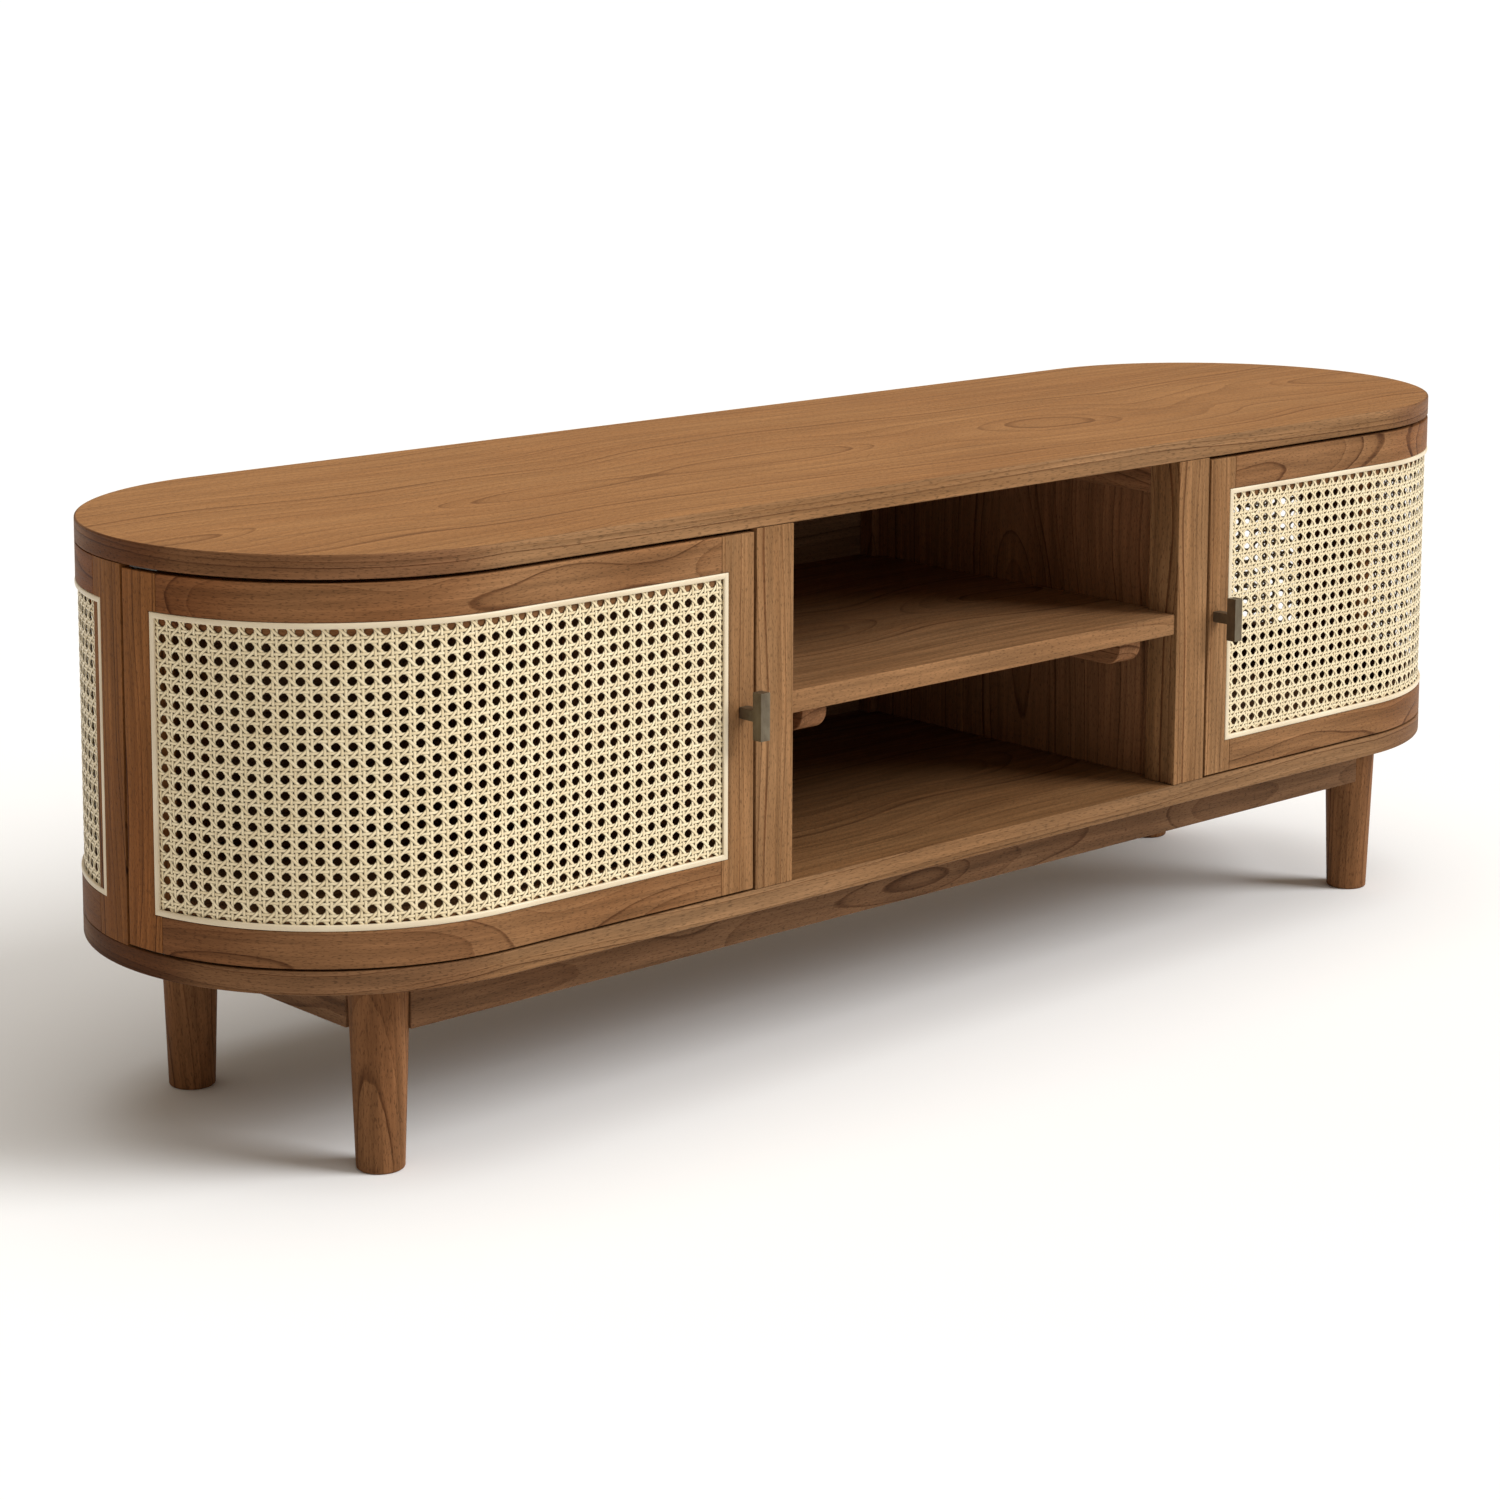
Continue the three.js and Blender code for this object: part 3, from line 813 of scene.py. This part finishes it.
def straight_path(run, line, crossing, pitch, sign, upright):
    """One upright or level strand, woven over and under the pairs that it crosses."""
    low, high = run
    first = math.floor((low - crossing) / pitch) - 1
    last = math.ceil((high - crossing) / pitch) + 1
    inner = [crossing + (k + part) * pitch for k in range(first, last + 1) for part in BENDS]
    values = np.array(distinct([low, high, *between(low, high, inner)], 0.4 * MM))
    rise = sign * WEAVE * smooth_wave(values - crossing, pitch)
    line = np.full_like(values, line)
    return np.stack([line, values, rise] if upright else [values, line, rise], axis=1)


def diagonal_path(spans, hole, number, turn, over_upright):
    """One diagonal strand that rises (turn 1) or falls (turn -1), clipped to the spans.

    It passes half a pitch from the holes, over the upright pairs and under the level ones, or
    the other way round.
    """
    (left, right), levels = spans
    slope = turn * PITCH[1] / PITCH[0]
    shift = (number + 0.5) * PITCH[1]
    ends = sorted((level - hole[1] - shift) / slope + hole[0] for level in levels)
    start, stop = max(left, ends[0]), min(right, ends[1])
    if stop - start < SHORTEST_DIAGONAL:
        return None
    step = PITCH[0] / DIAGONAL_STEPS
    first = math.ceil((start - hole[0]) / step)
    last = math.floor((stop - hole[0]) / step)
    inner = [hole[0] + k * step for k in range(first, last + 1)]
    values = distinct([start, stop, *inner], 0.5 * MM)
    values = np.array([value for value in values if start <= value <= stop])
    height = hole[1] + slope * (values - hole[0]) + shift
    wave = np.cos(2 * math.pi * (values - hole[0]) / PITCH[0])
    rise = DIAGONAL_WEAVE * np.sign(wave) * np.abs(wave) ** 0.6 * (-1 if over_upright else 1)
    return np.stack([values, height, rise], axis=1)


def straight_paths(spans, hole):
    """All the upright strands, then all the level ones."""
    paths = []
    for axis, other in ((0, 1), (1, 0)):
        (low, high), pitch = spans[axis], PITCH[axis]
        first = math.floor((low - hole[axis]) / pitch) - 1
        last = math.ceil((high - hole[axis]) / pitch)
        crossing = hole[other] + PITCH[other] / 2
        upright = axis == 0
        for k in range(first, last + 1):
            for half in (-1, 1):
                line = hole[axis] + (k + 0.5) * pitch + half * PAIR_SPACING / 2
                if low < line < high:
                    sign = -half if upright else half
                    path = straight_path(spans[other], line, crossing, PITCH[other], sign, upright)
                    paths.append(path)
    return paths


def diagonal_paths(spans, hole, side):
    """All the rising strands, then all the falling ones."""
    reach = 2 + int(sum((high - low) / pitch for (low, high), pitch in zip(spans, PITCH)))
    paths = [
        diagonal_path(spans, hole, number, turn, over_upright=side * turn > 0)
        for turn in (1, -1) for number in range(-reach, reach + 1)
    ]
    return [path for path in paths if path is not None]


def add_cane(node, side, body):
    alongs, depths, heights = wall_levels(node)
    spans = [(values[0] + CANE_INSET, values[-1] - CANE_INSET) for values in (alongs, heights)]
    hole = (alongs[0] + FIRST_HOLE_IN, heights[-1] - FIRST_HOLE_DOWN)
    middle = (depths[0] + depths[-1]) / 2
    layers = {"weave": straight_paths(spans, hole), "diagonals": diagonal_paths(spans, hole, side)}
    for kind, paths in layers.items():
        name = f"{node}_{kind}"
        add_piece(name, strand_mesh(name, paths, side, middle), CANE, body, node)


# The bead's section has straight sides of this height and a rounded crown. A roundness of 1
# would make the crown half an ellipse.
BEAD_SIDE = 1.3 * MM
BEAD_ROUNDNESS = 0.75
BEAD_STEPS = 12
BEAD_STEP_LENGTH = 6 * MM


def add_bead(node, side, body):
    """Four lengths of rounded rattan, mitred at the corners, over the edge of the cane."""
    alongs, depths, heights = wall_levels(node)
    width = min(value for value in np.diff(heights) if value > 2 * MM)
    crown, base = depths[0], depths[-1]
    shoulder = base - BEAD_SIDE
    # The section, as insets and depths.
    section = [(0.0, base)]
    for step in range(BEAD_STEPS + 1):
        angle = math.pi * step / BEAD_STEPS
        rise = math.sin(angle) ** BEAD_ROUNDNESS
        section.append((width / 2 * (1 - math.cos(angle)), shoulder + (crown - shoulder) * rise))
    section.append((width, base))
    vertices, places, faces = [], [], []
    steps = max(8, int((alongs[-1] - alongs[0]) / BEAD_STEP_LENGTH))
    ring = 2 * (steps + 1)
    for level, (inset, depth) in enumerate(section):
        left, right = alongs[0] + inset, alongs[-1] - inset
        bottom, top = heights[0] + inset, heights[-1] - inset
        values = [left + (right - left) * step / steps for step in range(steps + 1)]
        loop = [(value, bottom) for value in values] + [(value, top) for value in reversed(values)]
        for along, height in loop:
            vertices.append(wall_point(side, along, depth, height))
            places.append((along, height, inset))
        faces += ring_faces(level * ring, (level + 1) % len(section) * ring, ring)
    name = node + "_rattan"
    mesh = closed_mesh(name, vertices, faces)
    offset = grain_offset(node, (0, 0))
    grains = []
    for polygon in mesh.polygons:
        corners = [places[vertex] for vertex in polygon.vertices]
        run_along, run_height, _ = np.ptp(corners, axis=0)
        upright = run_height > run_along
        for along, height, inset in corners:
            run, lane = (height, 0.3) if upright else (along, 0.0)
            grains.append(offset + Vector((run, inset, lane)))
    finish_mesh(mesh, grains)
    # The mitres stay crisp.
    mesh.set_sharp_from_angle(angle=math.radians(50))
    add_piece(name, mesh, BEAD, body, node)


def hinge_sockets(label):
    """The round sockets of a door's two hinge bushes, each open at the edge of the door."""
    sockets = []
    past = 2 * MM
    for level in ("lower", "upper"):
        low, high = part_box(f"hinge_bush_{level}_{label}")
        radius = (high.x - low.x) / 2 + CLEARANCE
        down, up = (past, CLEARANCE) if level == "lower" else (CLEARANCE, past)
        centre = ((low.x + high.x) / 2, (low.y + high.y) / 2)
        sockets.append((centre, (radius, radius), (low.z - down, high.z + up)))
    return sockets


def add_panel(prefix, side, body, stiles, sockets=()):
    """A frame with its cane and bead. Its hinge stile gets the sockets."""
    alongs, _, heights = wall_levels(f"{prefix}_cane")
    recess = (alongs[0] - CLEARANCE, alongs[-1] + CLEARANCE,
              heights[0] - CLEARANCE, heights[-1] + CLEARANCE)
    for kind in (*stiles, "top_rail", "bottom_rail"):
        piece = add_member(f"{prefix}_{kind}", side, body, recess, *MEMBERS[kind])
        if kind == "hinge_stile":
            for socket in sockets:
                cut_round(piece, *socket)
    add_cane(f"{prefix}_cane", side, body)
    add_bead(f"{prefix}_bead", side, body)


for side, label in SIDES:
    door = f"door_{label}"
    add_panel(f"end_panel_{label}", side, "cabinet", ("front_stile", "rear_stile"))
    add_panel(door, side, door, ("hinge_stile", "handle_stile"), hinge_sockets(label))


# ---------------------------------------------------------------------------------------------
# Straight wooden pieces, and the legs.

def box_stations(node):
    low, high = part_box(node)
    return [[low[axis], high[axis]] for axis in range(3)]


def whole(*_):
    """Keeps every cell of a grid."""
    return True


def add_box(node, length_axis, material, reach, bevel=0.8 * MM, face=(Y, -1)):
    """A straight piece. face says along which axis, and which way, its show face looks."""
    low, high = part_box(node)
    offset = grain_offset(node, reach)
    face_axis, face_sign = face
    across_axis = X + Y + Z - length_axis - face_axis
    middle = (low[across_axis] + high[across_axis]) / 2
    surface = high[face_axis] if face_sign > 0 else low[face_axis]

    def grain(*place):
        depth = (place[face_axis] - surface) * face_sign
        return offset + Vector((place[length_axis], place[across_axis] - middle, depth))

    name = node + "_wood"
    mesh = cell_mesh(name, box_stations(node), whole, same_place, grain)
    return add_piece(name, mesh, material, "cabinet", node, bevel)


def leg_shape(node):
    """A leg's centre, its radii just above the foot's rim and at the top, and those heights."""
    low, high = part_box(node)
    centre = Vector(((low.x + high.x) / 2, (low.y + high.y) / 2))
    rim = distinct([co.z for co in vertices_of(node)])[-2]
    foot = max((co.xy - centre).length for co in vertices_of(node) if abs(co.z - rim) < 0.1 * MM)
    return centre, (foot, (high.x - low.x) / 2), (rim, high.z)


def add_apron(node, length_axis, face):
    """An apron, with its ends hollowed round the legs that it meets."""
    piece = add_box(node, length_axis, APRON, (0.006, -0.03), 1.0 * MM, face)
    low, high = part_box(node)
    for place in ("front", "rear"):
        for _, label in SIDES:
            centre, radii, span = leg_shape(f"leg_{place}_{label}")
            near_x = low.x - radii[1] < centre.x < high.x + radii[1]
            near_y = low.y - radii[1] < centre.y < high.y + radii[1]
            if near_x and near_y:
                slope = (radii[1] - radii[0]) / (span[1] - span[0])
                ends = (low.z - 1 * MM, high.z + 1 * MM)
                hollow = [radii[0] + CLEARANCE + slope * (end - span[0]) for end in ends]
                cut_round(piece, centre, hollow, ends)


for side, label in SIDES:
    inwards = (X, -side)
    add_box(f"front_post_{label}", Z, POST, (0.07, -0.03))
    add_box(f"rear_post_{label}", Z, INNER, (0.06, -0.03))
    add_box(f"divider_panel_{label}", Z, INNER, (0.01, -0.05), 0.5 * MM, inwards)
    add_box(f"divider_top_rail_{label}", Y, INNER, (0.05, -0.03), face=inwards)
    add_apron(f"apron_{label}", Y, (X, side))
add_apron("apron_front", X, (Y, -1))
add_apron("apron_rear", X, (Y, 1))


def add_shelf():
    """The shelf of the bay, notched round the posts."""
    low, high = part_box("shelf")
    offset = grain_offset("shelf", (0.03, -0.05))
    right = [co for co in vertices_of("shelf") if co.z > high.z - 0.1 * MM and co.x > 0]
    narrow, wide = distinct([co.x for co in right])
    front, notch_front, notch_back, back = distinct([co.y for co in right])
    # The right edge, from the front to the back, and then the left one.
    edge = [(narrow, front), (narrow, notch_front), (wide, notch_front),
            (wide, notch_back), (narrow, notch_back), (narrow, back)]
    outline = edge + [(-x, y) for x, y in reversed(edge)]
    mesh = prism_mesh(
        "shelf_wood", outline, low.z, high.z, same_place,
        lambda x, y, z: offset + Vector((x, y, z - high.z)),
    )
    add_piece("shelf_wood", mesh, SHELF, "cabinet", "shelf", 0.9 * MM)


NOSE_STEPS = 12


def add_batten(node):
    """A batten under the shelf. Its lower front corner is rounded off."""
    low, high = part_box(node)
    nose = min(co.z for co in vertices_of(node) if co.y < low.y + 0.05 * MM) - low.z
    offset = grain_offset(node, (0.05, -0.02))
    outline = [(high.y, low.z), (high.y, high.z), (low.y, high.z)]
    for step in range(NOSE_STEPS + 1):
        angle = math.pi + RIGHT_ANGLE * step / NOSE_STEPS
        y, z = low.y + nose * (1 + math.cos(angle)), low.z + nose * (1 + math.sin(angle))
        outline.append((y, z))
    name = node + "_wood"
    mesh = prism_mesh(
        name, outline, low.x, high.x, lambda y, z, x: (x, y, z),
        lambda y, z, x: offset + Vector((y, z - low.z, x - low.x)),
    )
    add_piece(name, mesh, INNER, "cabinet", node, 0.9 * MM)


# The legs' wood was cut at a slant to the log, so its rings show as arches on the outer side.
LEG_SLANT = 0.09
LEG_REACH = (0.0, 0.0327)
LEG_CHAMFER = 0.7 * MM
LEG_SEGMENTS = 72
RIM_STEPS = 6
TAPER_STEPS = 8


def add_leg(node, out):
    """A tapered round leg with a soft rim at the foot. out points from the heart of its wood."""
    low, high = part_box(node)
    centre, (foot_radius, top_radius), (rim, _) = leg_shape(node)
    profile = []
    for step in range(RIM_STEPS + 1):
        angle = RIGHT_ANGLE * step / RIM_STEPS
        profile.append(
            (foot_radius - rim * (1 - math.sin(angle)), low.z + rim * (1 - math.cos(angle)))
        )
    for step in range(1, TAPER_STEPS + 1):
        part = step / TAPER_STEPS
        height = rim + (high.z - LEG_CHAMFER - rim) * part
        profile.append((foot_radius + (top_radius - foot_radius) * part, height))
    profile.append((top_radius - LEG_CHAMFER, high.z))
    vertices, grains, faces = [], [], []
    offset = grain_offset(node, LEG_REACH)
    across = Vector((-out.y, out.x))
    for radius, height in profile:
        for i in range(LEG_SEGMENTS):
            angle = 2 * math.pi * i / LEG_SEGMENTS
            place = Vector((radius * math.cos(angle), radius * math.sin(angle)))
            vertices.append((centre.x + place.x, centre.y + place.y, height))
            through = place.dot(out) - LEG_SLANT * height
            grains.append(offset + Vector((height, place.dot(across), through)))
    last = len(vertices) - LEG_SEGMENTS
    for start in range(0, last, LEG_SEGMENTS):
        faces += ring_faces(start, start + LEG_SEGMENTS, LEG_SEGMENTS)
    for start in (0, last):
        faces.append(list(range(start, start + LEG_SEGMENTS)))
    name = node + "_wood"
    mesh = solid_mesh(name, vertices, faces, grains)
    keep_flat(add_piece(name, mesh, LEG, "cabinet", node))


add_shelf()
for side, label in SIDES:
    add_batten(f"shelf_batten_{label}")
    for place, ahead in (("front", -1), ("rear", 1)):
        add_leg(f"leg_{place}_{label}", Vector((side, ahead)).normalized())


# ---------------------------------------------------------------------------------------------
# Handles and the other fittings.

def add_handle(label):
    """A square bar on a square stem."""
    node = f"handle_{label}"
    low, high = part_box(node)
    xs, zs = (distinct([co[axis] for co in vertices_of(node)]) for axis in (X, Z))
    bar_back = low.y + (high.x - low.x)
    stem_z = between(low.z + 1 * MM, high.z - 1 * MM, zs)
    stem_x = between(low.x + 0.1 * MM, high.x - 0.1 * MM, xs) or [low.x, high.x]
    stations = (
        distinct([low.x, stem_x[0], stem_x[-1], high.x]),
        [low.y, bar_back, high.y],
        distinct([low.z, stem_z[0], stem_z[-1], high.z]),
    )

    def kept(x, y, z):
        return y < bar_back or (stem_x[0] < x < stem_x[-1] and stem_z[0] < z < stem_z[-1])

    offset = grain_offset(node, (0, 0))
    name = node + "_metal"
    mesh = cell_mesh(
        name, stations, kept, same_place, lambda x, y, z: offset + Vector((z, x, y))
    )
    add_piece(name, mesh, BRASS, f"door_{label}", node, 0.55 * MM)


def add_block(node, material, body, bevel):
    name = node + "_body"
    mesh = cell_mesh(name, box_stations(node), whole, same_place, same_place)
    add_piece(name, mesh, material, body, node, bevel, segments=2)


for side, label in SIDES:
    add_handle(label)
    add_block(f"catch_{label}", PLASTIC, "cabinet", 1.2 * MM)
    add_block(f"strike_plate_{label}", STEEL, f"door_{label}", 0.4 * MM)

# The CAD nodes that stay are the back panel and the hinges' pins and bushes.
for name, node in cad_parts.items():
    if not node.hide_render:
        node.data.materials.clear()
        node.data.materials.append(BACKING if name == "back_panel" else STEEL)


# ---------------------------------------------------------------------------------------------
# Floor, light and camera.

def add_floor():
    half = 60.0
    corners = [(-half, -half, 0), (half, -half, 0), (half, half, 0), (-half, half, 0)]
    mesh = bpy.data.meshes.new("floor")
    mesh.from_pydata(corners, [], [(0, 1, 2, 3)])
    mesh.materials.append(floor_material())
    new_object("floor", mesh)


def add_sun(name, azimuth, elevation, strength, softness, colour):
    """A soft lamp far away. Azimuth 0 is straight in front of the doors and 90 is to the right."""
    data = bpy.data.lights.new(name, "SUN")
    data.energy = strength
    data.color = colour
    data.angle = math.radians(softness)
    light = new_object(name, data)
    light.rotation_euler = (math.radians(90 - elevation), 0, math.radians(azimuth))


def add_world(light, colour, backdrop):
    """Soft warm light from all round. The camera sees a white backdrop behind the floor."""
    world = bpy.data.worlds.new("studio")
    bpy.context.scene.world = world
    world.use_nodes = True
    tree = world.node_tree
    ray = tree.nodes.new("ShaderNodeLightPath")
    choose = tree.nodes.new("ShaderNodeMix")
    choose.data_type = "RGBA"
    choose.inputs[6].default_value = (*(light * part for part in colour), 1.0)
    choose.inputs[7].default_value = (backdrop, backdrop, backdrop, 1.0)
    tree.links.new(ray.outputs["Is Camera Ray"], choose.inputs[0])
    tree.links.new(choose.outputs[2], tree.nodes["Background"].inputs["Color"])
    tree.nodes["Background"].inputs["Strength"].default_value = 1.0


def add_camera(place, down, roll, azimuth):
    """The photo's camera. It looks down by some degrees, and azimuth 0 looks towards +Y."""
    data = bpy.data.cameras.new("camera")
    data.sensor_width = 36
    data.lens = 83.29
    data.shift_x = 0.0434
    data.shift_y = -0.22
    camera = new_object("camera", data)
    camera.location = place
    camera.rotation_euler = [math.radians(angle) for angle in (90 - down, roll, azimuth)]
    bpy.context.scene.camera = camera


add_floor()
add_world(light=0.36, colour=(1.0, 0.89, 0.74), backdrop=1.0)
add_sun("key", azimuth=40, elevation=33, strength=2.85, softness=30, colour=(0.98, 0.99, 1.0))
add_sun("overhead", azimuth=20, elevation=80, strength=1.2, softness=60, colour=(1.0, 1.0, 1.0))
add_camera((-2.2959, -2.3766 + BODY_Y, 1.0257), down=8.186, roll=-0.046, azimuth=-41.635)
bpy.context.scene.view_settings.view_transform = "Standard"
